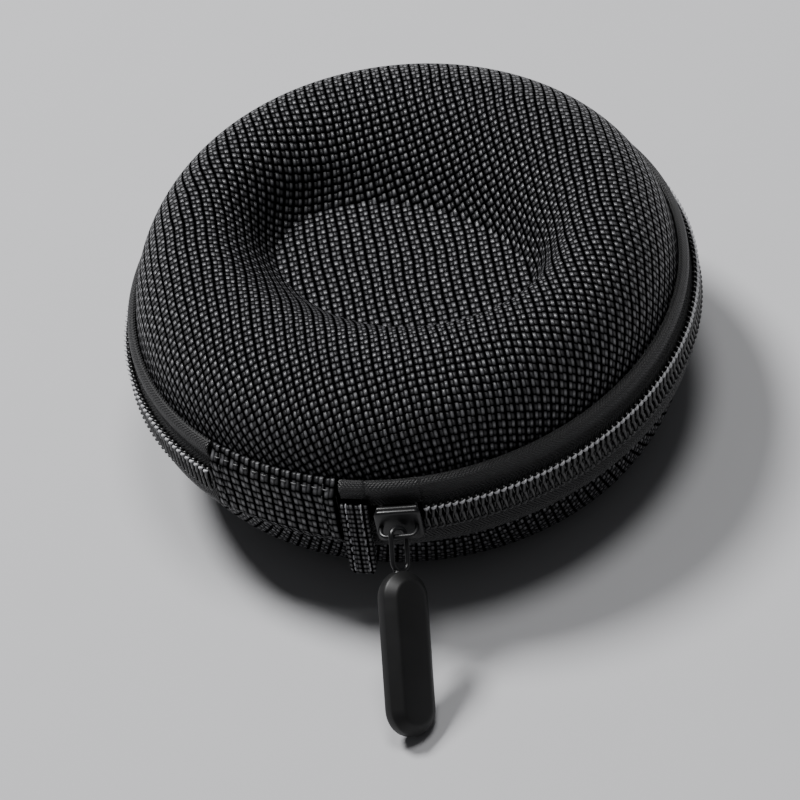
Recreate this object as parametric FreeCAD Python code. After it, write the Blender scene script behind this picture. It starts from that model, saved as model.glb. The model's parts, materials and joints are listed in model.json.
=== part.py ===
import FreeCAD, Part
import math
import os

# Round moulded carrying case for headphones, in millimetres, closed and lying on its base.
# +Z is up. The origin is the centre of the flat ring that the case rests on.
# The hinge is at -Y. Angles are measured about +Z from +X, so the hinge is at -90 degrees.

# --- Driving dimensions ---
ZIP_HEIGHT = 28.0           # height of the zip plane, half the height of the case
TEETH_RADIUS = 60.1         # outside radius of the zip's teeth
COVER_THICKNESS = 0.8       # woven cover bonded to the foam
FOAM_THICKNESS = 3.0        # moulded foam shell
LINING_THICKNESS = 0.5      # knitted lining bonded inside

# Outside of one moulded half, as ellipses above the zip plane: height, X and Y semi-axes.
# The wall rises from the moulded edge, turns over the crest and drops to the oval floor.
MOULD = [
    (6.0, 56.2, 56.2),
    (9.0, 56.4, 56.4),
    (16.0, 55.0, 54.6),
    (22.0, 51.9, 50.6),
    (26.4, 47.6, 45.0),
    (28.2, 42.6, 38.0),
    (26.5, 37.6, 31.2),
    (21.0, 33.2, 24.6),
    (15.0, 30.6, 19.8),
    (12.0, 28.8, 17.4),
]
CREASE_SHIFT = 0.9          # how far a layer's crease moves outwards per unit of depth

# Hinge strip, a flat piece of fabric on a chord of the rim
HINGE_Y = -58.6             # outside face of the strip
STRIP_HALF_WIDTH = 14.8
STRIP_THICKNESS = 0.8
STRIP_LINING = 0.5
FOLD_OFFSET = 6.0           # the two fold lines lie this far above and below the zip plane
FOLD_GAP = 0.3
FLAP_TOP = 9.2              # the sewn flaps end this far from the zip plane
FLAP_DEPTH = 6.0
LINING_MARGIN = 0.5

# Zip
ZIP_START = -74.7           # first end of the tapes, beside the strip
ZIP_END = 254.7             # last end of the tapes
TEETH_START = -69.0
TEETH_END = 253.5
TEETH_GAP = 0.55            # half the gap between the two rows, which the slider's post uses
TEETH_WIDTH = 2.45
TAPE_FACE = 58.9            # radius of the tape's outside under the teeth
TAPE_THICKNESS = 0.7
TAPE_EDGE = 0.9             # the tape's edge, above the zip plane
TAPE_TOP = 9.2
TAPE_SEAT = 56.6            # radius where the tape is sewn on the moulded wall
TAPE_LAP = 0.2              # the seam starts this far above the moulded edge
ROLL_HEIGHT = 1.0           # of the rolled upper edge
ROLL_STEP = 0.4             # the roll's top is this much narrower at each side
SEAT_RELIEF = 0.5
NOTCH_MARGIN = 2.0

# Inner binding, sewn over the raw edge of the moulded half
BINDING_THICKNESS = 0.8
BINDING_TOP = 9.0

# Slider
SLIDER_ANGLE = -63.6
SLIDER_HALF_ANGLE = 4.6
SLIDER_HALF_WIDTH = 4.2
OUTER_PLATE = (60.4, 61.5)
INNER_PLATE = (56.7, 57.8)
INNER_PLATE_HALF_WIDTH = 3.4
FLANGE_RADIUS = 59.3
FLANGE_THICKNESS = 0.85
POST_HALF_WIDTH = 0.25
POST_LENGTH_ANGLE = 3.0
NOTCH_END = -57.2           # up to here the lid's tape leaves room for the loop and the slider
NOTCH_TOP = 5.2

# Crown of the slider, a bent wire bridge that carries the puller
CROWN_RISE = 2.6            # from the outer plate to the bar's axis
BAR_RADIUS = 0.5
LEG_OFFSET = 3.5
LEG_ROOT = 1.0              # the legs reach this far into the plate before they are trimmed

# Puller, from the bar's axis to its tip
PULLER_SLANT = 49.0         # outwards from straight down
PULLER_TWIST = 45.0         # of the broad face, about the puller's length
EYE_HALF_WIDTH = 1.4
EYE_TOP = 0.1               # centres of the eye's two ends
EYE_BOTTOM = 5.0
LINK_RIM = 1.0
LINK_THICKNESS = 1.1
SHANK_WIDTH = 3.4
SHANK_END = 13.0
TAB_TOP = 6.9
TAB_LENGTH = 33.0
TAB_WIDTH = 11.0
TAB_THICKNESS = 6.0
TAB_BAND = 2.2              # height of the straight side between the two bevels
TAB_INSET = 1.9             # of the broad face from the side

# Folded loop of strap at the end of the zip
LOOP_ANGLE = -72.0
LOOP_WIDTH = 5.6
LOOP_THICKNESS = 1.9
LOOP_TOP = 4.8
LOOP_LENGTH = 17.0
LOOP_SLANT = 8.0
LOOP_RADIUS = 58.6          # of its inner face at its top

V = FreeCAD.Vector
AXIS = V(0, 0, 1)
ZIP_CENTRE = V(0, 0, ZIP_HEIGHT)


def layer_station(index, depth):
    """One ellipse of the surface that lies this deep below the outside of the mould."""
    height, a, b = MOULD[index]
    if index == 0:
        return height, a - depth, b - depth
    if index == len(MOULD) - 1:
        return height - depth, a + CREASE_SHIFT * depth, b + CREASE_SHIFT * depth
    before = MOULD[index - 1]
    after = MOULD[index + 1]
    rise = after[0] - before[0]
    spread = (after[1] + after[2] - before[1] - before[2]) / 2
    length = math.hypot(rise, spread)
    shift = depth * rise / length
    return height + depth * spread / length, a - shift, b - shift


def mould_solid(depth):
    """The lid's half of the case, filled, with its surface this deep below the outside."""
    wires = []
    for index in range(len(MOULD)):
        height, a, b = layer_station(index, depth)
        ellipse = Part.Ellipse(V(0, 0, ZIP_HEIGHT + height), a, b)
        wires.append(Part.Wire([ellipse.toShape()]))
    return Part.makeLoft(wires, True, False)


def below_top(shape):
    """Cuts the crest to the flat ring that the case can rest on."""
    size = 4 * TEETH_RADIUS
    room = Part.makeBox(size, size, 2 * ZIP_HEIGHT, V(-size / 2, -size / 2, 0))
    return shape.common(room)


def ring(points, start, end):
    """Turns a section of (radius, height above the zip plane) points about the case's axis."""
    corners = [V(radius, 0, ZIP_HEIGHT + height) for radius, height in points]
    face = Part.Face(Part.makePolygon(corners + corners[:1]))
    face.rotate(V(0, 0, 0), AXIS, start)
    return face.revolve(V(0, 0, 0), AXIS, end - start)


def band(inner, outer, low, high, start, end):
    """A ring with a rectangular section."""
    return ring([(inner, low), (outer, low), (outer, high), (inner, high)], start, end)


def mirrored(shape):
    """The base's copy of a piece of the lid."""
    return shape.mirror(ZIP_CENTRE, AXIS)


def binding():
    """Fabric edge tape that wraps the raw edge of the moulded half, seen when the case is open."""
    edge = MOULD[0][0]
    outer = MOULD[0][1]
    inner = outer - COVER_THICKNESS - FOAM_THICKNESS - LINING_THICKNESS
    lip = inner - BINDING_THICKNESS
    bottom = edge - BINDING_THICKNESS
    section = [
        (lip, bottom),
        (outer, bottom),
        (outer, edge),
        (inner, edge),
        (inner, BINDING_TOP),
        (lip, BINDING_TOP),
    ]
    wall = mould_solid(0).cut(mould_solid(outer - inner))
    return ring(section, 0, 360).cut(wall)


def zip_tape():
    """Woven tape from the teeth to its seam on the moulded wall, with a rolled upper edge."""
    edge = MOULD[0][0]
    back = TAPE_FACE - TAPE_THICKNESS
    teeth_top = TEETH_GAP + TEETH_WIDTH
    section = [
        (back, TAPE_EDGE),
        (TAPE_FACE, TAPE_EDGE),
        (TAPE_FACE, teeth_top),
        (back, TAPE_TOP - ROLL_HEIGHT),
        (back - ROLL_STEP, TAPE_TOP),
        (TAPE_SEAT + ROLL_STEP, TAPE_TOP),
        (TAPE_SEAT, TAPE_TOP - SEAT_RELIEF),
        (TAPE_SEAT, edge + TAPE_LAP),
        (TAPE_SEAT + TAPE_THICKNESS, edge + TAPE_LAP),
        (back, teeth_top),
    ]
    return ring(section, ZIP_START, ZIP_END)


def zip_teeth(start):
    """One row of the coil, as the band that its turns fill."""
    return band(TAPE_FACE, TEETH_RADIUS, TEETH_GAP, TEETH_GAP + TEETH_WIDTH, start, TEETH_END)


def slider_notch():
    """Room for the loop and for the slider where it is parked at the end of the closed zip."""
    inner = TAPE_SEAT - NOTCH_MARGIN
    outer = TEETH_RADIUS + NOTCH_MARGIN
    return band(inner, outer, 0, NOTCH_TOP, ZIP_START - NOTCH_MARGIN, NOTCH_END)


def hinge_flap():
    """The part of the hinge fabric that is sewn to the moulded wall."""
    low = FOLD_OFFSET + FOLD_GAP
    corner = V(-STRIP_HALF_WIDTH, HINGE_Y, ZIP_HEIGHT + low)
    block = Part.makeBox(2 * STRIP_HALF_WIDTH, FLAP_DEPTH, FLAP_TOP - low, corner)
    return block.cut(mould_solid(0))


def strip_layer(near, thickness, half_height):
    """A flat rectangle of the hinge, parallel to the XZ plane."""
    corner = V(-STRIP_HALF_WIDTH, near, ZIP_HEIGHT - half_height)
    return Part.makeBox(2 * STRIP_HALF_WIDTH, thickness, 2 * half_height, corner)


def at_angle(shape, angle):
    """Turns a piece made on the +X axis to its place round the rim."""
    shape.rotate(V(0, 0, 0), AXIS, angle)
    return shape


def slider_body():
    """Two plates joined by the post that parts the teeth. The outer plate has two flanges."""
    half = SLIDER_HALF_ANGLE
    width = SLIDER_HALF_WIDTH
    plate = band(OUTER_PLATE[0], OUTER_PLATE[1], -width, width, -half, half)
    upper = band(FLANGE_RADIUS, OUTER_PLATE[0], width - FLANGE_THICKNESS, width, -half, half)
    lower = band(FLANGE_RADIUS, OUTER_PLATE[0], -width, FLANGE_THICKNESS - width, -half, half)
    inner_width = INNER_PLATE_HALF_WIDTH
    inner = band(INNER_PLATE[0], INNER_PLATE[1], -inner_width, inner_width, -half, half)
    post_end = POST_LENGTH_ANGLE - half
    post = band(INNER_PLATE[1], OUTER_PLATE[0], -POST_HALF_WIDTH, POST_HALF_WIDTH, -half, post_end)
    return plate.multiFuse([upper, lower, inner, post]).removeSplitter()


def slider_crown():
    """A wire bridge along the slider: two legs, and the bar that the puller hangs on."""
    bar_x = OUTER_PLATE[1] + CROWN_RISE
    start = V(bar_x, -LEG_OFFSET, ZIP_HEIGHT)
    bar = Part.makeCylinder(BAR_RADIUS, 2 * LEG_OFFSET, start, V(0, 1, 0))
    pieces = []
    for side in (-1, 1):
        top = V(bar_x, side * LEG_OFFSET, ZIP_HEIGHT)
        pieces.append(Part.makeSphere(BAR_RADIUS, top))
        pieces.append(Part.makeCylinder(BAR_RADIUS, CROWN_RISE + LEG_ROOT, top, V(-1, 0, 0)))
    half = 2 * SLIDER_HALF_ANGLE
    plate = band(OUTER_PLATE[0], OUTER_PLATE[1], -SLIDER_HALF_WIDTH, SLIDER_HALF_WIDTH, -half, half)
    return bar.multiFuse(pieces).cut(plate)


def stadium(half_width, first, last, height):
    """A closed outline of two straight sides and two round ends, in the XY plane at this height."""
    a = V(first, half_width, height)
    b = V(last, half_width, height)
    c = V(last, -half_width, height)
    d = V(first, -half_width, height)
    far = Part.Arc(b, V(last + half_width, 0, height), c).toShape()
    near = Part.Arc(d, V(first - half_width, 0, height), a).toShape()
    return Part.Wire([Part.makeLine(a, b), far, Part.makeLine(c, d), near])


def flat_link():
    """The metal link, lying along +X from the bar's axis: a ring round the eye and a shank in the tab."""
    outer = stadium(EYE_HALF_WIDTH + LINK_RIM, EYE_TOP, EYE_BOTTOM, -LINK_THICKNESS / 2)
    eye = stadium(EYE_HALF_WIDTH, EYE_TOP, EYE_BOTTOM, -LINK_THICKNESS / 2)
    up = V(0, 0, LINK_THICKNESS)
    ring_body = Part.Face(outer).extrude(up).cut(Part.Face(eye).extrude(up))
    corner = V(EYE_BOTTOM + EYE_HALF_WIDTH + LINK_RIM / 2, -SHANK_WIDTH / 2, -LINK_THICKNESS / 2)
    shank = Part.makeBox(SHANK_END - corner.x, SHANK_WIDTH, LINK_THICKNESS, corner)
    return ring_body.fuse(shank).removeSplitter()


def flat_tab():
    """The rubber pull tab: straight sides between two wide bevels that end in the broad faces."""
    half = TAB_WIDTH / 2
    first = TAB_TOP + half
    last = TAB_TOP + TAB_LENGTH - half
    middle = Part.Face(stadium(half, first, last, -TAB_BAND / 2)).extrude(V(0, 0, TAB_BAND))
    bevels = []
    for side in (-1, 1):
        edge = stadium(half, first, last, side * TAB_BAND / 2)
        face = stadium(half - TAB_INSET, first, last, side * TAB_THICKNESS / 2)
        bevels.append(Part.makeLoft([edge, face], True, True))
    return middle.multiFuse(bevels).removeSplitter()


def hung(shape):
    """Hangs a flat puller piece on the slider's bar, twisted and slanted as it rests."""
    shape.rotate(V(0, 0, 0), V(1, 0, 0), -PULLER_TWIST)
    shape.rotate(V(0, 0, 0), V(0, 1, 0), 90 - PULLER_SLANT)
    shape.translate(V(OUTER_PLATE[1] + CROWN_RISE, 0, ZIP_HEIGHT))
    return at_angle(shape, SLIDER_ANGLE)


def end_loop():
    """A strap folded double, sewn over the end of the zip and hanging beside the slider."""
    half = LOOP_WIDTH / 2
    corner = V(0, -half, -LOOP_LENGTH)
    strap = Part.makeBox(LOOP_THICKNESS, LOOP_WIDTH, LOOP_LENGTH, corner)
    fold_start = V(LOOP_THICKNESS / 2, -half, -LOOP_LENGTH)
    fold = Part.makeCylinder(LOOP_THICKNESS / 2, LOOP_WIDTH, fold_start, V(0, 1, 0))
    strap = strap.fuse(fold).removeSplitter()
    strap.rotate(V(0, 0, 0), V(0, 1, 0), -LOOP_SLANT)
    strap.translate(V(LOOP_RADIUS, 0, ZIP_HEIGHT + LOOP_TOP))
    return at_angle(strap, LOOP_ANGLE)


def moulded_half():
    """The pieces that the lid and the base both have, in the lid's place."""
    outside = below_top(mould_solid(0))
    foam_depth = COVER_THICKNESS + FOAM_THICKNESS
    foam_outside = mould_solid(COVER_THICKNESS)
    foam_inside = mould_solid(foam_depth)
    inside = mould_solid(foam_depth + LINING_THICKNESS)
    return {
        "cover": outside.cut(foam_outside),
        "foam_shell": foam_outside.cut(foam_inside),
        "lining": foam_inside.cut(inside),
        "inner_binding": binding(),
        "zip_tape": zip_tape(),
        "zip_teeth": zip_teeth(TEETH_START),
        "hinge_flap": hinge_flap(),
    }


def build():
    parts = {}
    for name, shape in moulded_half().items():
        parts["base_" + name] = mirrored(shape)
        parts["lid_" + name] = shape
    parts["lid_zip_tape"] = parts["lid_zip_tape"].cut(slider_notch())
    parts["lid_zip_teeth"] = zip_teeth(NOTCH_END)
    parts["zip_end_loop"] = end_loop()
    strip_inside = HINGE_Y + STRIP_THICKNESS
    half_height = FOLD_OFFSET - FOLD_GAP
    lining_half = half_height - LINING_MARGIN
    parts["hinge_strip"] = strip_layer(HINGE_Y, STRIP_THICKNESS, half_height)
    parts["hinge_strip_lining"] = strip_layer(strip_inside, STRIP_LINING, lining_half)
    parts["slider_body"] = at_angle(slider_body(), SLIDER_ANGLE)
    parts["slider_crown"] = at_angle(slider_crown(), SLIDER_ANGLE)
    link = hung(flat_link())
    parts["puller_link"] = link
    parts["pull_tab"] = hung(flat_tab()).cut(link)
    return parts


os.makedirs("parts", exist_ok=True)
for part_name, part_shape in build().items():
    part_shape.exportStep("parts/" + part_name + ".step")
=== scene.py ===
import json
import math

import bpy
import numpy as np
from mathutils import Matrix, Vector


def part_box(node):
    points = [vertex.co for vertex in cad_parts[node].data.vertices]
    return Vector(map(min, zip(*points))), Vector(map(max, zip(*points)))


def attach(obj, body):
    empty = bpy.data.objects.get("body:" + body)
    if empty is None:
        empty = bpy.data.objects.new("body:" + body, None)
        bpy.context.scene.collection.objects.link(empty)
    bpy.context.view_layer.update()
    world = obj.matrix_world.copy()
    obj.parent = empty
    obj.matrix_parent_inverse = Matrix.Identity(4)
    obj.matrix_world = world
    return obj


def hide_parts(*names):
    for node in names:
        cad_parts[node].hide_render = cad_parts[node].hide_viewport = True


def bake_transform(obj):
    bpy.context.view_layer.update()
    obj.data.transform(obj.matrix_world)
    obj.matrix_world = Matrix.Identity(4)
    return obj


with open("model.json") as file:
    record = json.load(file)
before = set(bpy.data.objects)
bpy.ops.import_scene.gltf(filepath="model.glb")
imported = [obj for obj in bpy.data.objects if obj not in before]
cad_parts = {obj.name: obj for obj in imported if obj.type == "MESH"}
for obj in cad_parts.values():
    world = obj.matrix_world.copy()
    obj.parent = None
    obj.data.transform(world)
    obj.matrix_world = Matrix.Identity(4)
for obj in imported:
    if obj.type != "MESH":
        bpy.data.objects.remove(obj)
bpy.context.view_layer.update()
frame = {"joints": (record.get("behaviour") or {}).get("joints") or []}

# Looks of a round moulded headphone case. What comes from the frame is in metres. Other lengths are
# in millimetres unless a comment says otherwise, and MM turns them into metres. Heights called w are
# measured from the zip plane, and angles round the case are in degrees from +X.
MM = 0.001

# --- Sizes, from the frame where it holds them ---
LID_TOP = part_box("lid_cover")[1][2]
BASE_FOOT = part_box("base_cover")[0][2]
STRIP_LOW, STRIP_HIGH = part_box("hinge_strip")
ZIP_HEIGHT = (LID_TOP + BASE_FOOT) / 2 / MM
HALF_HEIGHT = (LID_TOP - BASE_FOOT) / 2 / MM
JOINTS = {joint["name"]: joint for joint in frame["joints"]}

# Outside of one moulded half: height above the zip plane, X and Y semi-axes.
MOULD = [
    (6.0, 56.2, 56.2),
    (9.0, 56.4, 56.4),
    (16.0, 55.0, 54.6),
    (22.0, 51.9, 50.6),
    (26.4, 47.6, 45.0),
    (28.2, 42.6, 38.0),
    (26.5, 37.6, 31.2),
    (21.0, 33.2, 24.6),
    (15.0, 30.6, 19.8),
    (12.0, 28.8, 17.4),
]
COVER = (0.0, 0.75)             # depth of each layer's two faces below the outside
FOAM = (0.82, 3.74)
LINING = (3.84, 4.3)
CREASE_SHIFT = 0.9
AROUND = 288                    # segments round the mould
PER_SPAN = 9                    # rings in each span of the outline
DRAPE = 0.8                     # how far the cloth follows the surface instead of the plan
FLOOR_RISE = 0.45               # the oval floor is domed by this much
FLOOR_RINGS = (0.985, 0.95, 0.9, 0.8, 0.68, 0.54, 0.4, 0.26, 0.13)
RIPPLE = 0.10                   # slight unevenness of the moulded dish
RIPPLE_SPACING = 9.0
RIPPLE_REACH = 44               # it ends at this radius

# Zip
ZIP_START, ZIP_END = -74.7, 254.7
TEETH_START, TEETH_END = -69.0, 255.3
LID_TEETH_START = -58.6         # the lid's row starts past the parked slider
LOOP_GAP = (-69.3, 5.0)         # the lid's tape is cut up to this angle to this w, over the loop
SLIDER_GAP = (-58.7, 3.6)       # and up to this angle to this w, behind the slider
TAPE_EDGE = 0.9
TAPE_FACE = 58.62               # radius of the tape at its edge
TAPE_ROLL = [
    (58.35, 6.0), (58.62, 7.2), (58.3, 8.4), (57.5, 9.2), (56.8, 9.1), (56.52, 8.4), (56.4, 6.7),
]
TAPE_LEAN, TAPE_LEAN_FROM = 0.2, 3.4    # a cut edge above this w follows the tape inwards
TAPE_THICKNESS = 0.5
SWEEP_COLUMNS = 1.2             # of a swept sheet, for each degree
BINDING_THICKNESS = 0.45
TEETH_PITCH = 1.45
COIL_RADIUS = 0.39              # of the coil's filament
COIL_CENTRE = (59.30, 1.36)     # radius and w of the middle of a turn
COIL_HALF = (0.38, 1.52)
COIL_SQUARENESS = 0.75          # 1 is an ellipse, less is squarer
COIL_STEPS = 18                 # points in each turn
COIL_SIDES = 7
ZIP_STITCH_AT = (59.86, 2.74)   # radius and w of the row that holds the coil
ZIP_STITCH_SIZE = (1.4, 0.3)    # length and radius
ZIP_STITCH_SLANT = 24.0

# Hinge strip
HINGE_Y = STRIP_LOW[1] / MM
STRIP_HALF = STRIP_HIGH[0] / MM
FLAP_TOP = 9.2
FOLD = 6.0                      # w of the fold lines
FOLD_REACH = 2.2                # the points of fold_points lie this far to each side of a fold line
FLAP_SEAT = 57.05               # radius of the flap's free edge on the moulded wall
FLAT_TOP = 5.6                  # up to this w the strip stands on its chord
CHORD_SAG = 1.1                 # the strip's sides lie this much further in than its middle
STRIP_COLUMNS = 97
STRIP_ROW = 0.3                 # height of each row of faces
SIDE_TURN = (0.6, 1.2)          # the cloth's sides turn in over this width, this sharply
END_HEM = (1.6, 1.1, 0.22)      # inset of its middle, width and height
FREE_HEM = (1.0, 0.8, 0.16)
END_SEAM, FREE_SEAM = 2.7, 1.9  # inset of each row of stitches
HEM_ENDS = (2.0, 1.5)           # the rows stop this far short of the cloth's edges
END_ENDS = (0.8, 0.6)
STITCH_LIFT = 0.02
HINGE_THICKNESS = 0.6
HINGE_LINING_DEPTH = 0.75
HINGE_LINING_MARGIN = 0.3
HINGE_PITCH = 2.3               # of its stitches, and their length and radius
HINGE_STITCH_SIZE = (1.5, 0.17)

# Weave: each cell's width and height, in the cloth's own flat coordinates
COVER_CELL = (1.15, 1.47)
GRAIN_ANGLE = 37.5              # of the paired yarns, from the case's depth towards the left
YARN_PAIRING = 0.12             # each yarn of a pair leans this far, in cells, towards the other
STRIP_CELL = (1.21, 2.0)
STRAP_CELL = (0.93, 1.15)
YARN_FULLNESS = 2.35            # 2 fills the cell's width, more leaves a gap
FLOAT_LENGTH = 0.82             # 1 ends a float at the cell's edge, less lets it run over
YARN_FIBRES = 22.0              # fineness of the fibres across a yarn
FIBRE_RANGE = (0.88, 1.06)      # what they do to its height
WANDER_SCALE, WANDER = 0.055, 1.6
YARN_SHADE_POWER = 2.4             # how quickly the painted shade darkens a yarn towards its sides
YARN_ROUGHER = 0.2              # a yarn's sides are rougher than its top
RIB_PITCH, RIB_TURN = 0.8, 1.55     # herringbone ribs, and the width after which they turn back
TAPE_THREAD_PITCH = 0.42
RIB_HEIGHT, TAPE_THREAD_HEIGHT = 0.4, 0.12
KNIT_CELL = (0.9, 0.7)

# Where the slider is at rest and where the loop is, and the loop's width
SLIDER_ANGLE = -63.6
LOOP_ANGLE = -72.0
LOOP_WIDTH = 5.6


# --- Camera: turns in degrees, lengths in metres ---
CAMERA_TURN = (38, 45, 12.7)    # azimuth from -Y, elevation and roll
CAMERA_TARGET = (0.0045, -0.0165, 0.0185)
CAMERA_DISTANCE = 1.17
CAMERA_LENS, CAMERA_SENSOR = 255, 36
CAMERA_CLIP = 20


def add_camera():
    azimuth, elevation, roll = (math.radians(angle) for angle in CAMERA_TURN)
    target = Vector(CAMERA_TARGET)
    back = Vector(
        (
            math.sin(azimuth) * math.cos(elevation),
            -math.cos(azimuth) * math.cos(elevation),
            math.sin(elevation),
        )
    )
    data = bpy.data.cameras.new("camera")
    data.lens = CAMERA_LENS
    data.sensor_width = CAMERA_SENSOR
    data.clip_end = CAMERA_CLIP
    camera = bpy.data.objects.new("camera", data)
    bpy.context.scene.collection.objects.link(camera)
    camera.rotation_mode = "QUATERNION"
    turn = (-back).to_track_quat("-Z", "Y")
    camera.rotation_quaternion = turn @ Matrix.Rotation(-roll, 4, "Z").to_quaternion()
    camera.location = target + back * CAMERA_DISTANCE
    bpy.context.scene.camera = camera


add_camera()


# --- Node helpers ---
class Nodes:
    """Short calls for building one material's node tree."""

    def __init__(self, name):
        self.material = bpy.data.materials.new(name)
        self.material.use_nodes = True
        self.tree = self.material.node_tree
        self.shader = self.tree.nodes["Principled BSDF"]

    def new(self, kind, **settings):
        node = self.tree.nodes.new(kind)
        for key, value in settings.items():
            setattr(node, key, value)
        return node

    def put(self, socket, value):
        if isinstance(value, bpy.types.NodeSocket):
            self.tree.links.new(value, socket)
        else:
            socket.default_value = value

    def math(self, operation, *values):
        node = self.new("ShaderNodeMath", operation=operation)
        for socket, value in zip(node.inputs, values):
            self.put(socket, value)
        return node.outputs[0]

    def mix(self, factor, first, second):
        """A number between two numbers."""
        change = self.math("MULTIPLY", factor, self.math("SUBTRACT", second, first))
        return self.math("ADD", first, change)

    def colour(self, factor, dark, light):
        node = self.new("ShaderNodeMix", data_type="RGBA")
        self.put(node.inputs["Factor"], factor)
        node.inputs["A"].default_value = (*dark, 1)
        node.inputs["B"].default_value = (*light, 1)
        return node.outputs["Result"]

    def uv(self):
        """The piece's own flat coordinates, in millimetres."""
        node = self.new("ShaderNodeUVMap", uv_map="flat_mm")
        parts = self.new("ShaderNodeSeparateXYZ")
        self.tree.links.new(node.outputs[0], parts.inputs[0])
        return parts.outputs[0], parts.outputs[1]

    def noise(self, scale, detail=2.0, vector=None):
        """Noise from 0 to 1. With no vector it is laid in the object's own space, in metres."""
        node = self.new("ShaderNodeTexNoise")
        node.inputs["Scale"].default_value = scale
        node.inputs["Detail"].default_value = detail
        if vector is None:
            vector = self.new("ShaderNodeTexCoord").outputs["Object"]
        self.tree.links.new(vector, node.inputs["Vector"])
        return node.outputs["Fac"]

    def vector(self, x, y, z=0.0):
        node = self.new("ShaderNodeCombineXYZ")
        for socket, value in zip(node.inputs, (x, y, z)):
            self.put(socket, value)
        return node.outputs[0]

    def finish(self, colour, height, depth_mm, roughness, specular=0.5):
        """Links a colour, a bump height and a roughness to the shader."""
        self.put(self.shader.inputs["Base Color"], colour)
        self.put(self.shader.inputs["Roughness"], roughness)
        self.shader.inputs["Specular IOR Level"].default_value = specular
        bump = self.new("ShaderNodeBump")
        bump.inputs["Distance"].default_value = depth_mm * MM
        self.put(bump.inputs["Height"], height)
        self.tree.links.new(bump.outputs[0], self.shader.inputs["Normal"])
        return self.material


def yarn_height(nodes, u, v):
    """A plain weave whose cells are one unit wide. Gives its height, and 1 where the yarn along v
    is on top. The yarns along v lie in pairs, so that their floats join into zigzags."""
    partner = nodes.math("FLOORED_MODULO", nodes.math("FLOOR", u), 2.0)
    lean = nodes.mix(partner, YARN_PAIRING, -YARN_PAIRING)
    fu = nodes.math("SUBTRACT", nodes.math("SUBTRACT", nodes.math("FRACT", u), 0.5), lean)
    fv = nodes.math("SUBTRACT", nodes.math("FRACT", v), 0.5)
    cell = nodes.math("ADD", nodes.math("FLOOR", u), nodes.math("FLOOR", v))
    top = nodes.math("FLOORED_MODULO", cell, 2.0)
    across = nodes.mix(top, fv, fu)
    along = nodes.mix(top, fu, fv)
    side = nodes.math("MULTIPLY", across, YARN_FULLNESS)
    round_side = nodes.math("SUBTRACT", 1.0, nodes.math("MULTIPLY", side, side))
    body = nodes.math("SQRT", nodes.math("MAXIMUM", round_side, 0.0))
    dive = nodes.math("COSINE", nodes.math("MULTIPLY", along, math.pi * FLOAT_LENGTH))
    height = nodes.math("MULTIPLY", body, nodes.math("MAXIMUM", dive, 0.0))
    fine = nodes.math("MULTIPLY", across, YARN_FIBRES)
    fibre = nodes.noise(1.0, 1.0, nodes.vector(fine, along, cell))
    return nodes.math("MULTIPLY", height, nodes.mix(fibre, *FIBRE_RANGE)), top


def woven(name, cell, dark, light, depth_mm, roughness, other):
    """Coarse plain weave of shiny filament yarn, with painted shade that darkens each yarn towards its
    sides and ends and into the gaps. roughness is that of a yarn's top, and other is a painted shade
    that dims the yarns that run along u."""
    nodes = Nodes(name)
    u, v = nodes.uv()
    wander = nodes.noise(WANDER_SCALE, 2.0, nodes.vector(u, v))
    shift = nodes.math("MULTIPLY", nodes.math("SUBTRACT", wander, 0.5), WANDER)
    u = nodes.math("DIVIDE", nodes.math("ADD", u, shift), cell[0])
    v = nodes.math("DIVIDE", nodes.math("SUBTRACT", v, shift), cell[1])
    height, top = yarn_height(nodes, u, v)
    # Painted shade: the colour falls with the yarn's height to the dark colour at its sides, ends and
    # gaps.
    bright = nodes.math("POWER", height, YARN_SHADE_POWER)
    # Painted shade: other dims the yarns along u, which catch less of the light.
    painted_yarn_light = nodes.math("MULTIPLY", bright, nodes.mix(top, other, 1.0))
    colour = nodes.colour(painted_yarn_light, dark, light)
    roughness = nodes.mix(height, roughness + YARN_ROUGHER, roughness)
    material = nodes.finish(colour, height, depth_mm, roughness)
    nodes.put(nodes.shader.inputs["Specular IOR Level"], painted_yarn_light)
    return material


def herringbone(name, dark, light):
    """Fine tape weave with slanted ribs that turn back every few millimetres."""
    nodes = Nodes(name)
    u, v = nodes.uv()
    fold = nodes.math("PINGPONG", v, RIB_TURN)
    slanted = nodes.math("ADD", u, fold)
    rib = nodes.math("SINE", nodes.math("MULTIPLY", slanted, math.tau / RIB_PITCH))
    thread = nodes.math("SINE", nodes.math("MULTIPLY", v, math.tau / TAPE_THREAD_PITCH))
    rib = nodes.math("MULTIPLY", rib, RIB_HEIGHT)
    thread = nodes.math("MULTIPLY", thread, TAPE_THREAD_HEIGHT)
    height = nodes.math("ADD", nodes.math("ADD", rib, thread), 0.5)
    lint = nodes.noise(0.9, 3.0, nodes.vector(u, v))
    # Painted shade: the colour darkens into the grooves between ribs and threads; the lint noise is
    # the tape's own uneven tone.
    colour = nodes.colour(nodes.math("MULTIPLY", height, lint), dark, light)
    return nodes.finish(colour, height, depth_mm=0.22, roughness=0.5)


def knitted(name, dark, light):
    """Soft brushed lining cloth."""
    nodes = Nodes(name)
    u, v = nodes.uv()
    rows = nodes.math("SINE", nodes.math("MULTIPLY", u, math.tau / KNIT_CELL[0]))
    loops = nodes.math("SINE", nodes.math("MULTIPLY", v, math.tau / KNIT_CELL[1]))
    height = nodes.math("ADD", nodes.math("MULTIPLY", nodes.math("MULTIPLY", rows, loops), 0.3), 0.5)
    nap = nodes.noise(1.4, 4.0, nodes.vector(u, v))
    nodes.shader.inputs["Sheen Weight"].default_value = 0.25
    # Painted shade: the colour darkens into the hollows between the knit's loops; the nap noise is the
    # cloth's own uneven tone.
    colour = nodes.colour(nodes.math("MULTIPLY", height, nap), dark, light)
    return nodes.finish(colour, height, depth_mm=0.12, roughness=0.85, specular=0.25)


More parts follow.
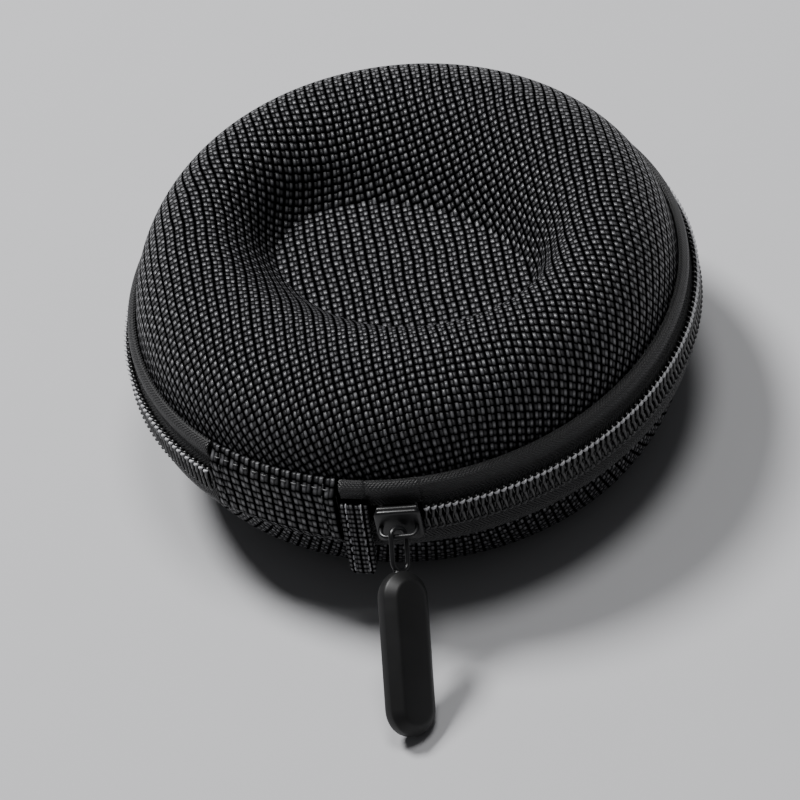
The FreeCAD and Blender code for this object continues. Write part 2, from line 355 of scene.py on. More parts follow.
def spun_thread(name, dark, light, roughness):
    """Twisted sewing thread or monofilament, laid along the piece's own length."""
    nodes = Nodes(name)
    grain = nodes.noise(2600.0, 2.0)
    colour = nodes.colour(grain, dark, light)
    return nodes.finish(colour, grain, depth_mm=0.05, roughness=roughness, specular=0.6)


def enamelled(name):
    """Black lacquered metal with slight wear in its colour."""
    nodes = Nodes(name)
    wear = nodes.noise(420.0, 4.0)
    colour = nodes.colour(wear, (0.002, 0.002, 0.002), (0.008, 0.008, 0.009))
    roughness = nodes.mix(wear, 0.26, 0.38)
    return nodes.finish(colour, wear, depth_mm=0.02, roughness=roughness, specular=0.4)


def moulded_rubber(name):
    """Satin black rubber with a fine moulded grain."""
    nodes = Nodes(name)
    grain = nodes.noise(3200.0, 2.0)
    cloud = nodes.noise(130.0, 3.0)
    colour = nodes.colour(cloud, (0.003, 0.003, 0.003), (0.008, 0.008, 0.0085))
    roughness = nodes.mix(cloud, 0.42, 0.54)
    return nodes.finish(colour, grain, depth_mm=0.008, roughness=roughness, specular=0.3)


def foam(name):
    """Fine closed-cell foam."""
    nodes = Nodes(name)
    cells = nodes.noise(1500.0, 3.0)
    colour = nodes.colour(cells, (0.02, 0.02, 0.022), (0.05, 0.05, 0.052))
    return nodes.finish(colour, cells, depth_mm=0.2, roughness=0.9, specular=0.2)


# Woven cloth runs from CLOTH_DARK, a painted shade at the yarns' sides and in the gaps, to its light
# colour on the yarns' tops.
CLOTH_DARK, CLOTH_LIGHT = (0.0003, 0.0003, 0.0004), (0.11, 0.11, 0.117)
COVER_LIGHT = (0.128, 0.128, 0.137)
WEAVE_DEPTH, STRAP_DEPTH = 0.55, 0.4    # of the bump, in millimetres
# other is the painted shade on each cloth's yarns along u.
COVER_CLOTH = woven("woven_nylon", COVER_CELL, CLOTH_DARK, COVER_LIGHT, WEAVE_DEPTH, 0.3, other=0.26)
STRIP_CLOTH = woven("strip_nylon", STRIP_CELL, CLOTH_DARK, CLOTH_LIGHT, WEAVE_DEPTH, 0.36, other=0.35)
STRAP_CLOTH = woven("strap_nylon", STRAP_CELL, CLOTH_DARK, CLOTH_LIGHT, STRAP_DEPTH, 0.36, other=0.6)
TAPE_CLOTH = herringbone("tape_herringbone", (0.001, 0.001, 0.0012), (0.03, 0.03, 0.032))
LINING_CLOTH = knitted("lining_knit", (0.008, 0.008, 0.009), (0.045, 0.045, 0.05))
BINDING_CLOTH = herringbone("binding_twill", (0.004, 0.004, 0.005), (0.04, 0.04, 0.043))
TEETH_NYLON = spun_thread("teeth_nylon", (0.002, 0.002, 0.002), (0.008, 0.008, 0.009), 0.32)
SEWING_THREAD = spun_thread("sewing_thread", (0.12, 0.12, 0.125), (0.36, 0.36, 0.38), 0.4)
# The lid's row of zip stitches: its pale colour is a painted highlight on the same dark thread the
# base's row has.
ZIP_THREAD_PAINTED_HIGHLIGHT = spun_thread("zip_thread_painted_highlight", (0.22, 0.22, 0.23), (0.5, 0.5, 0.52), 0.4)
DARK_THREAD = spun_thread("dark_thread", (0.006, 0.006, 0.007), (0.03, 0.03, 0.032), 0.45)
BLACK_METAL = enamelled("black_metal")
RUBBER = moulded_rubber("moulded_rubber")
FOAM_CORE = foam("foam_core")


# --- Mesh helpers ---
def make_piece(name, points, faces, material, flat=None):
    """A smooth mesh from points in millimetres. A woven one also has flat coordinates for its
    material, in millimetres."""
    if flat is None:
        flat = np.zeros((len(points), 2))
    mesh = bpy.data.meshes.new(name)
    corners = (np.asarray(points, float) * MM).tolist()
    mesh.from_pydata(corners, [], [tuple(int(i) for i in face) for face in faces])
    layer = mesh.uv_layers.new(name="flat_mm")
    corner_points = np.empty(len(mesh.loops), int)
    mesh.loops.foreach_get("vertex_index", corner_points)
    layer.data.foreach_set("uv", np.asarray(flat, np.float32)[corner_points].ravel())
    mesh.polygons.foreach_set("use_smooth", [True] * len(mesh.polygons))
    mesh.materials.append(material)
    piece = bpy.data.objects.new(name, mesh)
    bpy.context.scene.collection.objects.link(piece)
    return piece


def grid_faces(rows, columns, wrap=False, flip=False, start=0):
    """Quads between neighbouring rows of points."""
    faces = []
    for i in range(rows - 1):
        for j in range(columns if wrap else columns - 1):
            k = (j + 1) % columns
            quad = (i * columns + j, i * columns + k, (i + 1) * columns + k, (i + 1) * columns + j)
            quad = tuple(start + p for p in quad)
            faces.append(quad[::-1] if flip else quad)
    return faces


def closed_faces(rows, columns, start=0):
    """Quads between neighbouring rings of points, with a face over each end."""
    faces = grid_faces(rows, columns, wrap=True, start=start)
    first = tuple(range(start, start + columns))
    last = tuple(range(start + (rows - 1) * columns, start + rows * columns))
    return faces + [first[::-1], last]


def thicken(piece, thickness):
    """Gives a sheet its thickness on the inner side of its faces."""
    solid = piece.modifiers.new("thickness", "SOLIDIFY")
    solid.thickness = thickness * MM
    solid.offset = -1.0
    solid.use_even_offset = True


def smooth_line(points, per_span):
    """A Catmull-Rom curve through the points."""
    points = np.asarray(points, float)
    ends = np.vstack([2 * points[0] - points[1], points, 2 * points[-1] - points[-2]])
    made = []
    for i in range(1, len(ends) - 2):
        before, first, last, after = ends[i - 1 : i + 3]
        for t in np.arange(per_span) / per_span:
            slope = (last - before) * t
            bend = (2 * before - 5 * first + 4 * last - after) * t**2
            twist = (3 * first - before - 3 * last + after) * t**3
            made.append(0.5 * (2 * first + slope + bend + twist))
    made.append(points[-1])
    return np.array(made)


# --- Moulded halves ---
def mould_outline(depth):
    """The mould's ellipses at this depth below the outside, from the wall's edge to the floor."""
    line = smooth_line(MOULD, PER_SPAN)
    line[:, 0] = np.minimum(line[:, 0], HALF_HEIGHT)
    rise = np.gradient(line[:, 0])
    spread = np.gradient(line[:, 1:].mean(axis=1))
    length = np.hypot(rise, spread)
    normal_r, normal_w = rise / length, -spread / length
    made = line.copy()
    made[:, 0] -= depth * normal_w
    made[:, 1] -= depth * normal_r
    made[:, 2] -= depth * normal_r
    made[0] = (line[0, 0], line[0, 1] - depth, line[0, 2] - depth)
    floor_w, floor_a, floor_b = line[-1]
    made[-1] = (floor_w - depth, floor_a + CREASE_SHIFT * depth, floor_b + CREASE_SHIFT * depth)
    return made


def mould_rings(depth):
    """The outline's ellipses, then smaller ones in towards the floor's middle, and its height."""
    rings = [tuple(r) for r in mould_outline(depth)]
    floor_w, floor_a, floor_b = rings[-1]
    for share in FLOOR_RINGS:
        rise = FLOOR_RISE * (1 - share**2)
        rings.append((floor_w + rise, floor_a * share, floor_b * share))
    return np.array(rings), floor_w + FLOOR_RISE


def draped(rings, x, y):
    """Flat coordinates of a cloth that partly follows the mould's slopes, turned to its grain."""
    mean = rings[:, 1:].mean(axis=1)
    steps = np.hypot(np.diff(rings[:, 0]), np.diff(mean))
    travel = np.append(steps[::-1].cumsum()[::-1], 0) + mean[-1]
    stretch = (mean + DRAPE * (travel - mean)) / mean
    x, y = x * stretch[:, None], y * stretch[:, None]
    turn = math.radians(GRAIN_ANGLE)
    across = x * math.cos(turn) + y * math.sin(turn)
    along = y * math.cos(turn) - x * math.sin(turn)
    return np.stack([across, along], axis=-1).reshape(-1, 2)


def moulded_sheet(name, depth, side, material):
    """One layer's surface for the lid (side 1) or the base (side -1), from the wall's edge over the
    crest and down to the oval floor."""
    rings, middle_w = mould_rings(depth)
    mean = rings[:, 1:].mean(axis=1)
    angle = np.arange(AROUND) * math.tau / AROUND
    x = rings[:, 1:2] * np.cos(angle)
    y = rings[:, 2:3] * np.sin(angle)
    ripple = RIPPLE * np.sin(3 * angle + 0.7) * np.sin(mean[:, None] / RIPPLE_SPACING)
    w = np.minimum(rings[:, :1] + ripple * (mean[:, None] < RIPPLE_REACH), HALF_HEIGHT)
    points = np.stack([x, y, ZIP_HEIGHT + side * w], axis=-1).reshape(-1, 3)
    centre = len(points)
    points = np.vstack([points, [[0, 0, ZIP_HEIGHT + side * middle_w]]])
    flat = np.vstack([draped(rings, x, y), [[0, 0]]])
    faces = grid_faces(len(rings), AROUND, wrap=True, flip=side < 0)
    last = (len(rings) - 1) * AROUND
    for j in range(AROUND):
        tri = (last + j, last + (j + 1) % AROUND, centre)
        faces.append(tri if side > 0 else tri[::-1])
    return make_piece(name, points, faces, material, flat)


def moulded_layer(name, depths, side, material):
    """A layer between two depths below the mould's outside."""
    outer, inner = depths
    sheet = moulded_sheet(name, outer, side, material)
    thicken(sheet, inner - outer)
    return sheet


def swept(name, line, start, end, side, material, flip=False):
    """Turns an open line of (radius, w) points about the case's axis, as a sheet."""
    line = np.asarray(line, float)
    columns = max(2, int(abs(end - start) * SWEEP_COLUMNS) + 1)
    angles = np.radians(np.linspace(start, end, columns))
    along = np.append(0, np.hypot(*np.diff(line, axis=0).T).cumsum())
    reach = line[:, 0].max()
    points, flat = [], []
    for (radius, w), travelled in zip(line, along):
        for angle in angles:
            points.append((radius * math.cos(angle), radius * math.sin(angle), ZIP_HEIGHT + side * w))
            flat.append((angle * reach, travelled))
    faces = grid_faces(len(line), columns, flip=(side < 0) != flip)
    return make_piece(name, points, faces, material, flat)


def tape_line(low):
    """The zip tape's outside from the teeth, in behind the roll and over its top to the cover."""
    foot = [(TAPE_FACE, TAPE_EDGE), (58.66, 3.0), (57.95, 4.6)]
    edge = TAPE_FACE - TAPE_LEAN * max(0, low - TAPE_LEAN_FROM)
    foot = [(edge, low)] + [point for point in foot if point[1] > low + 0.5]
    return smooth_line(foot + TAPE_ROLL, per_span=5)


def join(pieces):
    """Joins pieces of the same kind into the first of them."""
    if len(pieces) > 1:
        bpy.ops.object.select_all(action="DESELECT")
        for piece in pieces:
            piece.select_set(True)
        bpy.context.view_layer.objects.active = pieces[0]
        bpy.ops.object.join()
    return pieces[0]


def tape(half, side):
    """One half's zip tape. The lid's is cut away over the loop and behind the slider."""
    spans = [(ZIP_START, ZIP_END, TAPE_EDGE)]
    if side > 0:
        spans = [
            (ZIP_START, LOOP_GAP[0], LOOP_GAP[1]),
            (LOOP_GAP[0], SLIDER_GAP[0], SLIDER_GAP[1]),
            (SLIDER_GAP[0], ZIP_END, TAPE_EDGE),
        ]
    strips = [swept(half + "_tape", tape_line(low), a, b, side, TAPE_CLOTH) for a, b, low in spans]
    piece = join(strips)
    piece.name = half + "_tape_herringbone"
    thicken(piece, TAPE_THICKNESS)
    return piece


def binding_line():
    """The edge binding: under the layers' raw edge, then up inside the lining."""
    inner = MOULD[0][1] - LINING[1]
    under = [(56.1, 5.9), (56.0, 5.3), (54.0, 5.12)]
    inside = [(inner + 0.6, 5.15), (inner - 0.7, 5.5), (inner - 0.85, 7.4), (inner - 0.45, 8.9)]
    return smooth_line(under + inside, per_span=4)


def rim_point(angle, radius, w):
    """A point at this angle, radius and height above the zip plane."""
    return Vector((radius * math.cos(angle), radius * math.sin(angle), ZIP_HEIGHT + w))


def tube(points, radius, sides):
    """Points and faces of a round tube along a line of points."""
    points = [Vector(p) for p in points]
    made = []
    normal = None
    for i, p in enumerate(points):
        ahead = points[min(i + 1, len(points) - 1)]
        behind = points[max(i - 1, 0)]
        direction = (ahead - behind).normalized()
        if normal is None:
            normal = direction.orthogonal().normalized()
        normal = (normal - direction * normal.dot(direction)).normalized()
        across = direction.cross(normal)
        for j in range(sides):
            turn = math.tau * j / sides
            made.append(p + radius * (math.cos(turn) * normal + math.sin(turn) * across))
    return made, closed_faces(len(points), sides)


def coil(name, start, side, phase):
    """One row of the zip: a flattened helix of nylon filament along the tape's edge."""
    pitch = math.degrees(TEETH_PITCH / COIL_CENTRE[0])
    turns = int((TEETH_END - start) / pitch)
    line = []
    for i in range(turns * COIL_STEPS + 1):
        t = i / COIL_STEPS
        swing = math.tau * t
        bend = abs(math.cos(swing)) ** COIL_SQUARENESS * math.copysign(1, math.cos(swing))
        lift = abs(math.sin(swing)) ** COIL_SQUARENESS * math.copysign(1, math.sin(swing))
        radius = COIL_CENTRE[0] + COIL_HALF[0] * lift
        w = COIL_CENTRE[1] - COIL_HALF[1] * bend
        line.append(rim_point(math.radians(start + (t + phase) * pitch), radius, side * w))
    points, faces = tube(line, COIL_RADIUS, COIL_SIDES)
    return make_piece(name, points, faces, TEETH_NYLON)


STITCH_SIDES = 6
# A stitch: share of its length, size and height of each ring in radii.
STITCH_SHAPE = [
    (-0.5, 0.25, -0.8), (-0.42, 0.75, -0.2), (-0.2, 1.0, 0.35), (0.0, 1.05, 0.5),
    (0.2, 1.0, 0.35), (0.42, 0.75, -0.2), (0.5, 0.25, -0.8),
]


def stitches(name, spots, length, radius, material):
    """Short raised stitches. Each spot is a middle point, a direction and the way out of the cloth."""
    points, faces = [], []
    for middle, direction, out in spots:
        across = direction.cross(out).normalized()
        begin = len(points)
        for share, size, lift in STITCH_SHAPE:
            centre = middle + direction * share * length + out * lift * radius
            for j in range(STITCH_SIDES):
                turn = math.tau * j / STITCH_SIDES
                spoke = math.cos(turn) * across + math.sin(turn) * out
                points.append(centre + radius * size * spoke)
        faces += closed_faces(len(STITCH_SHAPE), STITCH_SIDES, begin)
    return make_piece(name, points, faces, material)


def rim_stitches(name, start, side, material):
    """The slanted row that holds the coil, one stitch for each tooth."""
    radius, w = ZIP_STITCH_AT
    slant = math.radians(ZIP_STITCH_SLANT)
    spots = []
    step = math.degrees(TEETH_PITCH / radius)
    for i in range(int((TEETH_END - start) / step)):
        angle = math.radians(start + (i + 0.5) * step)
        out = Vector((math.cos(angle), math.sin(angle), 0))
        along = Vector((-math.sin(angle), math.cos(angle), 0))
        direction = (along * math.cos(slant) + Vector((0, 0, 1)) * math.sin(slant)).normalized()
        spots.append((rim_point(angle, radius, side * w), direction, out))
    return stitches(name, spots, *ZIP_STITCH_SIZE, material)


def dress_half(half, side):
    """Cover, foam, lining, binding, tape, teeth and stitching of the lid or the base."""
    cover = moulded_layer(half + "_cover_woven", COVER, side, COVER_CLOTH)
    core = moulded_layer(half + "_foam_core", FOAM, side, FOAM_CORE)
    lining = moulded_layer(half + "_lining_knit", LINING, side, LINING_CLOTH)
    binding = swept(half + "_edge_binding", binding_line(), 0, 360, side, BINDING_CLOTH, flip=True)
    thicken(binding, BINDING_THICKNESS)
    zip_tape = tape(half, side)
    teeth_start = LID_TEETH_START if side > 0 else TEETH_START
    teeth = coil(half + "_teeth_coil", teeth_start, side, 0.0 if side > 0 else 0.5)
    # Painted highlight: the lid's row gets the pale thread, the base's row the dark thread.
    thread = ZIP_THREAD_PAINTED_HIGHLIGHT if side > 0 else DARK_THREAD
    seam = rim_stitches(half + "_teeth_stitching", teeth_start, side, thread)
    for piece, node, slot in (
        (cover, "_cover", "woven_cover"),
        (core, "_foam_shell", "eva_foam"),
        (lining, "_lining", "lining_fabric"),
        (binding, "_inner_binding", "binding_fabric"),
        (zip_tape, "_zip_tape", "zip_tape"),
        (teeth, "_zip_teeth", "zip_teeth"),
    ):
        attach(piece, half)
        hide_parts(half + node)
    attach(seam, half)


dress_half("lid", 1)
dress_half("base", -1)


# --- Hinge strip ---
def strip_bulge(x, w):
    """How far the strip's cloth stands out: turned-in ends and hems are thicker."""
    inset, width, height = END_HEM
    end = height * math.exp(-((STRIP_HALF - inset - abs(x)) / width) ** 2)
    inset, width, height = FREE_HEM
    return end + height * math.exp(-((FLAP_TOP - inset - abs(w)) / width) ** 2)


def strip_y(x, w):
    """Where the strip's cloth stands: nearly flat between the folds, then on to the moulded wall."""
    share = min(1.0, max(0.0, (abs(w) - FLAT_TOP) / (FLAP_TOP - FLAT_TOP)))
    share = share * share * (3 - 2 * share)
    flat_y = HINGE_Y + CHORD_SAG * (x / STRIP_HALF) ** 2
    wall_y = -math.sqrt(FLAP_SEAT**2 - x * x)
    return flat_y + share * (wall_y - flat_y)


def strip_sheet(name, low, high, inset, reach, material, bulged=True):
    """A panel of the hinge between two heights, this far inside the strip's face."""
    rows = max(2, int((high - low) / STRIP_ROW) + 1)
    turn_width, turn_depth = SIDE_TURN
    points, flat = [], []
    for w in np.linspace(low, high, rows):
        for x in np.linspace(-reach, reach, STRIP_COLUMNS):
            y = strip_y(x, w) + inset - (strip_bulge(x, w) if bulged else 0.0)
            corner = max(0.0, abs(x) - reach + turn_width)
            points.append((x, y + corner**2 * turn_depth, ZIP_HEIGHT + w))
            flat.append((x, w))
    return make_piece(name, points, grid_faces(rows, STRIP_COLUMNS), material, flat)


def fold_points(w, y):
    """Two points on the strip's middle, in metres, this far below and above a fold line."""
    z = ZIP_HEIGHT + w
    return (0, y * MM, (z - FOLD_REACH) * MM), (0, y * MM, (z + FOLD_REACH) * MM)


def strip_spot(x, w, direction):
    """A stitch on the strip's face."""
    middle = Vector((x, strip_y(x, w) - strip_bulge(x, w) - STITCH_LIFT, ZIP_HEIGHT + w))
    return middle, Vector(direction), Vector((0, -1, 0))


def strip_stitches(name, low, high):
    """The hem's row along the free edge and one row down each turned-in end."""
    edge = FLAP_TOP - FREE_SEAM
    w = edge if high > FOLD else -edge
    hem = np.arange(HEM_ENDS[0] - STRIP_HALF, STRIP_HALF - HEM_ENDS[1], HINGE_PITCH)
    down = np.arange(low + END_ENDS[0], high - END_ENDS[1], HINGE_PITCH)
    spots = [strip_spot(x, w, (1, 0, 0)) for x in hem]
    for x in (END_SEAM - STRIP_HALF, STRIP_HALF - END_SEAM):
        spots += [strip_spot(x, w, (0, 0, 1)) for w in down]
    return stitches(name, spots, *HINGE_STITCH_SIZE, DARK_THREAD)


def dress_hinge():
    """The strip's two halves, with their lining and stitching."""
    lower = strip_sheet("hinge_strip_lower_cloth", -FLAP_TOP, 0, 0.0, STRIP_HALF, STRIP_CLOTH)
    upper = strip_sheet("hinge_strip_upper_cloth", 0, FLAP_TOP, 0.0, STRIP_HALF, STRIP_CLOTH)
    lower_seam = strip_stitches("hinge_lower_stitching", -FLAP_TOP, 0)
    upper_seam = strip_stitches("hinge_upper_stitching", 0, FLAP_TOP)
    inner = (HINGE_LINING_DEPTH, STRIP_HALF - HINGE_LINING_MARGIN, LINING_CLOTH, False)
    lower_lining = strip_sheet("hinge_lining_lower", -FOLD, 0, *inner)
    upper_lining = strip_sheet("hinge_lining_upper", 0, FOLD, *inner)
    low_start, low_end = fold_points(-FOLD, HINGE_Y)
    high_start, high_end = fold_points(FOLD, HINGE_Y)
    for piece in (lower, lower_lining, upper, upper_lining):
        thicken(piece, HINGE_THICKNESS)
    for piece in (lower, lower_seam, lower_lining):
        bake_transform(piece)
        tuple(low_start)
        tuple(low_end)
    for piece in (upper, upper_seam, upper_lining):
        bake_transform(piece)
        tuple(high_start)
        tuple(high_end)
    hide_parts("hinge_strip", "base_hinge_flap")
    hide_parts("lid_hinge_flap")
    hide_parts("hinge_strip_lining")


dress_hinge()


# --- Loop of strap at the end of the zip ---
def loop_line():
    """The folded strap seen from its edge, as (distance out, w) points: down the front, round the
    fold and up the back."""
    front = [(59.5, 4.7), (60.1, 2.6), (60.75, -1.2), (61.35, -5.2), (61.9, -9.4), (62.2, -11.7)]
    fold = [(62.1, -12.8), (61.35, -13.1), (60.75, -12.4)]
    back = [(60.55, -9.8), (60.1, -6.0), (59.65, -2.4), (59.25, 0.6), (58.9, 2.6)]
    return smooth_line(front + fold + back, per_span=4)


# The loop's bottom narrows by this much, at this w, over this height.
LOOP_NARROWING, LOOP_BOTTOM, LOOP_BOTTOM_REACH = 0.9, -13.2, 1.3
LOOP_CROWN = 0.12               # the strap's middle stands out this far
LOOP_THICKNESS = 0.55
LOOP_COLUMNS = 15
LOOP_FRONT = 21                 # points of the line that lie on the front
LOOP_SEAMS = (-1.55, 1.55)      # how far each row of stitches is from the strap's middle
LOOP_STITCH_SIZE = (1.25, 0.19)     # length and radius
LOOP_STITCH_LIFT = 0.14


def loop_seam(line, place, out):
    """Two rows of stitches down the loop's front."""
    spots = []
    for x in LOOP_SEAMS:
        for i in range(1, LOOP_FRONT - 1, 2):
            reach, w = line[i]
            step = line[i + 1] - line[i - 1]
            direction = Vector((0, 0, step[1])) + out * step[0]
            spots.append((place(reach + LOOP_STITCH_LIFT, x, w), direction.normalized(), out))
    return stitches("zip_end_loop_stitching", spots, *LOOP_STITCH_SIZE, SEWING_THREAD)


def dress_loop():
    """The folded strap at the end of the zip, with its stitching."""
    line = loop_line()
    along = np.append(0, np.hypot(*np.diff(line, axis=0).T).cumsum())
    turn = math.radians(LOOP_ANGLE)
    out = Vector((math.cos(turn), math.sin(turn), 0))
    side = Vector((-math.sin(turn), math.cos(turn), 0))

    def place(reach, x, w):
        return out * reach + side * x + Vector((0, 0, ZIP_HEIGHT + w))

    points, flat = [], []
    for (reach, w), travelled in zip(line, along):
        narrowing = LOOP_NARROWING * math.exp(-(((w - LOOP_BOTTOM) / LOOP_BOTTOM_REACH) ** 2))
        half = LOOP_WIDTH / 2 - narrowing
        for x in np.linspace(-half, half, LOOP_COLUMNS):
            crown = LOOP_CROWN * (1 - (2 * x / LOOP_WIDTH) ** 2)
            points.append(place(reach + crown, x, w))
            flat.append((x, travelled))
    faces = grid_faces(len(line), LOOP_COLUMNS, flip=True)
    strap = make_piece("zip_end_loop_strap", points, faces, STRAP_CLOTH, flat)
    thicken(strap, LOOP_THICKNESS)
    seam = loop_seam(line, place, out)
    for piece in (strap, seam):
        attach(piece, "base")
    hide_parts("zip_end_loop")


dress_loop()


# --- Pull tab ---
PULLER_SLANT = 49.0             # how far out from straight down it points
PULLER_TWIST = 45.0             # its turn about its own length
EYE = (1.9, 0.1, 5.0)           # the link's middle line: half width and the centres of its two ends
EYE_POINTS = 15                 # in each of its two half circles
LINK_RADIUS = 0.52
LINK_HALF_THICKNESS = 0.55
LINK_SIDES = 12
SHANK = (6.8, 12.6, 1.5, 0.5)   # start, end, half width and half thickness
BOX_FACES = ((0, 3, 2, 1), (4, 5, 6, 7), (0, 1, 5, 4), (1, 2, 6, 5), (2, 3, 7, 6), (3, 0, 4, 7))
TAB_TOP = 6.9
TAB_LENGTH = 33.0
TAB_HALF_WIDTH = 5.5
TAB_POINTS = 20                 # in each of its two half circles
# From the tab's middle out to its face: inset from the side and height above the middle.
TAB_LEVELS = [
    (0.0, 0.0), (0.0, 0.85), (0.06, 1.1), (0.25, 1.36),
    (1.6, 2.68), (1.85, 2.86), (2.15, 2.96), (2.6, 3.0),
]


def stadium(first, last, half, height, count):
    """Points of a stadium outline along +X, round two end centres."""
    made = []
    for centre, begin in ((last, -90), (first, 90)):
        for angle in np.radians(np.linspace(begin, begin + 180, count)):
            made.append((centre + half * math.cos(angle), half * math.sin(angle), height))
    return made


def puller_matrix():
    """From the flat puller, lying along +X from the bar's axis, to its place at rest."""
    bar = Vector(JOINTS["puller_swing"]["pos_m"]) / MM
    return (
        Matrix.Translation(bar)
        @ Matrix.Rotation(math.radians(SLIDER_ANGLE), 4, "Z")
        @ Matrix.Rotation(math.radians(90 - PULLER_SLANT), 4, "Y")
        @ Matrix.Rotation(math.radians(-PULLER_TWIST), 4, "X")
    )


def dress_tab():
    """The rubber tab, a stadium with wide bevels on both broad faces."""
    first, last = TAB_TOP + TAB_HALF_WIDTH, TAB_TOP + TAB_LENGTH - TAB_HALF_WIDTH
    levels = [(inset, -height) for inset, height in TAB_LEVELS[::-1]] + TAB_LEVELS[1:]
    rows = []
    for inset, height in levels:
        rows.append(stadium(first, last, TAB_HALF_WIDTH - inset, height, TAB_POINTS))
    place = puller_matrix()
    points = [place @ Vector(p) for row in rows for p in row]
    faces = closed_faces(len(rows), len(rows[0]))
    tab = make_piece("pull_tab_rubber", points, faces, RUBBER)
    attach(tab, "puller")
    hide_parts("pull_tab")


dress_tab()


def ring(line):
    """Points and faces of the link's wire round a flat loop of points."""
    count = len(line)
    points = []
    for i, p in enumerate(line):
        ahead, behind = line[(i + 1) % count], line[i - 1]
        direction = Vector((ahead[0] - behind[0], ahead[1] - behind[1], 0)).normalized()
        outwards = Vector((direction.y, -direction.x, 0))
        for j in range(LINK_SIDES):
            turn = math.tau * j / LINK_SIDES
            swell = Vector((0, 0, LINK_HALF_THICKNESS * math.sin(turn)))
            points.append(Vector(p) + outwards * LINK_RADIUS * math.cos(turn) + swell)
    faces = grid_faces(count, LINK_SIDES, wrap=True)
    final = (count - 1) * LINK_SIDES
    for j in range(LINK_SIDES):
        k = (j + 1) % LINK_SIDES
        faces.append((final + j, final + k, k, j))
    return points, faces


def shank(begin):
    """Points and faces of the link's flat shank. Its points are numbered from begin."""
    start, end, wide, thick = SHANK
    corners = ((-wide, -thick), (wide, -thick), (wide, thick), (-wide, thick))
    points = [Vector((x, y, z)) for x in (start, end) for y, z in corners]
    return points, [tuple(begin + corner for corner in face) for face in BOX_FACES]


def dress_link():
    """The link's ring of round wire, and the shank that is moulded into the tab."""
    half, first, last = EYE
    points, faces = ring(stadium(first, last, half, 0, EYE_POINTS))
    more, more_faces = shank(len(points))
    points += more
    faces += more_faces
    place = puller_matrix()
    points = [place @ p for p in points]
    link = make_piece("puller_link_ring", points, faces, BLACK_METAL)
    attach(link, "puller")
    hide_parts("puller_link")


dress_link()


# --- Slider ---
SLIDER_REACH = 61.0             # radius at which a length along the slider is measured
SLAB_CORNER = 7                 # points in each rounded corner
# Each slab: half length, half width, corner radius, and (inset, radius) levels outwards.
OUTER_PLATE = (
    4.75, 4.15, 1.3,
    [
        (0.5, 60.42), (0.12, 60.45), (0.0, 60.65), (0.0, 61.1),
        (0.1, 61.32), (0.35, 61.46), (0.8, 61.5), (2.6, 61.52),
    ],
)
INNER_PLATE = (
    4.4, 3.3, 1.2,
    [(1.5, 56.78), (0.3, 56.8), (0.0, 57.0), (0.0, 57.55), (0.3, 57.75), (1.5, 57.76)],
)
RAIL = (4.3, 0.4, 0.35, [(0.1, 59.4), (0.0, 59.55), (0.0, 60.6)])
RAIL_W = 3.75
POST = (1.45, 0.22, 0.2, [(0.0, 57.7), (0.0, 60.5)])
POST_ALONG = -3.0
# The cast body's slabs: shape, distance along the slider and w.
CAST_BODY = (
    (OUTER_PLATE, 0, 0),
    (INNER_PLATE, 0, 0),
    (RAIL, 0, RAIL_W),
    (RAIL, 0, -RAIL_W),
    (POST, POST_ALONG, 0),
)
CROWN = [                       # (along, radius) of the wire's middle
    (-3.62, 61.3), (-3.6, 62.4), (-3.35, 63.35), (-2.75, 63.95), (-1.9, 64.1),
    (1.9, 64.1), (2.75, 63.95), (3.35, 63.35), (3.6, 62.4), (3.62, 61.3),
]
CROWN_RADIUS = 0.5
CROWN_SIDES = 12


def slider_point(along, w, radius):
    """A point this far along the slider from its middle."""
    angle = math.radians(SLIDER_ANGLE) + along / SLIDER_REACH
    return rim_point(angle, radius, w)


def slab(shape, along, w, start):
    """A plate with rounded corners and eased edges, as points and faces. Its points are numbered
    from start."""
    half_length, half_width, corner, levels = shape
    points = []
    for inset, radius in levels:
        size = max(corner - inset, 0.05)
        reach_a, reach_w = half_length - inset - size, half_width - inset - size
        for quarter, (sa, sw) in enumerate(((1, 1), (-1, 1), (-1, -1), (1, -1))):
            for step in range(SLAB_CORNER):
                turn = math.radians(90 * quarter + 90 * step / (SLAB_CORNER - 1))
                corner_along = along + sa * reach_a + size * math.cos(turn)
                corner_w = w + sw * reach_w + size * math.sin(turn)
                points.append(slider_point(corner_along, corner_w, radius))
    return points, closed_faces(len(levels), 4 * SLAB_CORNER, start)


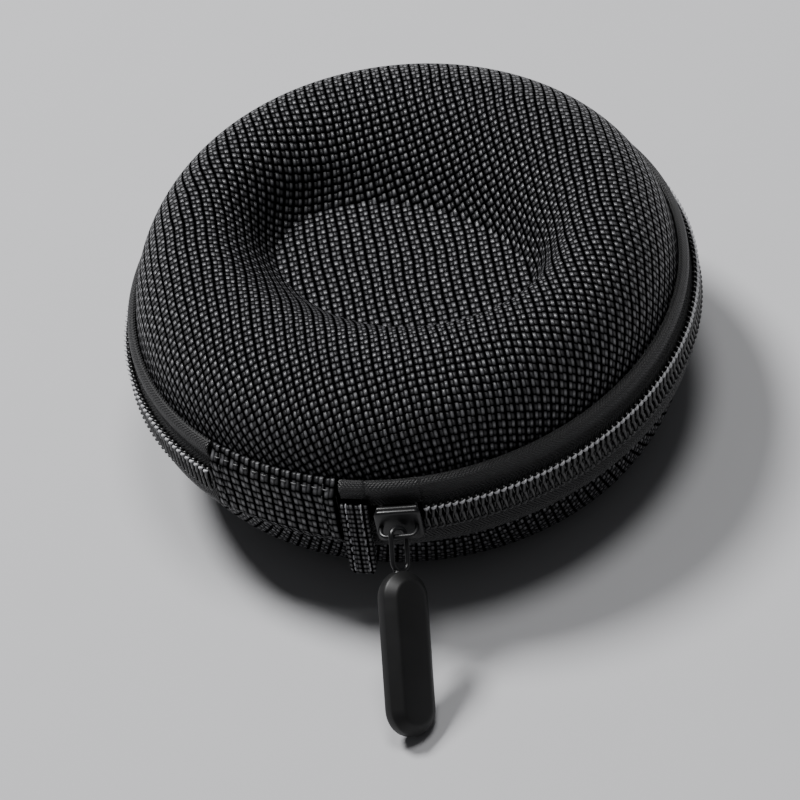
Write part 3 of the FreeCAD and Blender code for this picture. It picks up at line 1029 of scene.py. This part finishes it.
def dress_slider():
    """The cast body with its side rails and post, and the bent wire crown."""
    points, faces = [], []
    for shape, along, w in CAST_BODY:
        more, more_faces = slab(shape, along, w, len(points))
        points += more
        faces += more_faces
    body = make_piece("slider_cast_body", points, faces, BLACK_METAL)
    line = [slider_point(along, 0, radius) for along, radius in smooth_line(CROWN, per_span=4)]
    points, faces = tube(line, CROWN_RADIUS, CROWN_SIDES)
    crown = make_piece("slider_crown_arch", points, faces, BLACK_METAL)
    for piece, node in ((body, "slider_body"), (crown, "slider_crown")):
        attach(piece, "slider")
        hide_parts(node)


dress_slider()


# --- Floor and light ---
FLOOR_SIZE = 8
FLOOR_COLOUR = (0.37, 0.37, 0.38)
SPECK_GAIN = 1.03
WORLD_COLOUR, WORLD_STRENGTH = (0.86, 0.87, 0.9, 1), 0.13
AIM = Vector((0, 0, 0.03))
# Each light: name, position in metres, size and power.
LIGHTS = (("key", (-0.8, 0.2, 1.4), 0.45, 46), ("top", (0.1, 0.2, 1.7), 0.6, 18))


def floor_material():
    """Pale matt floor with a faint speckle."""
    nodes = Nodes("pale_floor")
    speck = nodes.noise(60.0, 4.0)
    bright = tuple(channel * SPECK_GAIN for channel in FLOOR_COLOUR)
    colour = nodes.colour(speck, FLOOR_COLOUR, bright)
    return nodes.finish(colour, speck, depth_mm=0.02, roughness=0.7, specular=0.2)


def add_floor():
    bpy.ops.mesh.primitive_plane_add(size=FLOOR_SIZE, location=(0, 0, 0))
    floor = bpy.context.object
    floor.name = "floor"
    floor.data.materials.append(floor_material())


def add_light(name, position, size, power):
    data = bpy.data.lights.new(name, "AREA")
    data.shape = "DISK"
    data.size = size
    data.energy = power
    light = bpy.data.objects.new(name, data)
    light.location = position
    light.rotation_mode = "QUATERNION"
    light.rotation_quaternion = (AIM - Vector(position)).to_track_quat("-Z", "Y")
    bpy.context.scene.collection.objects.link(light)


def add_world():
    world = bpy.data.worlds.new("studio")
    world.use_nodes = True
    background = world.node_tree.nodes["Background"]
    background.inputs[0].default_value = WORLD_COLOUR
    background.inputs[1].default_value = WORLD_STRENGTH
    bpy.context.scene.world = world


add_floor()
add_world()
for light in LIGHTS:
    add_light(*light)
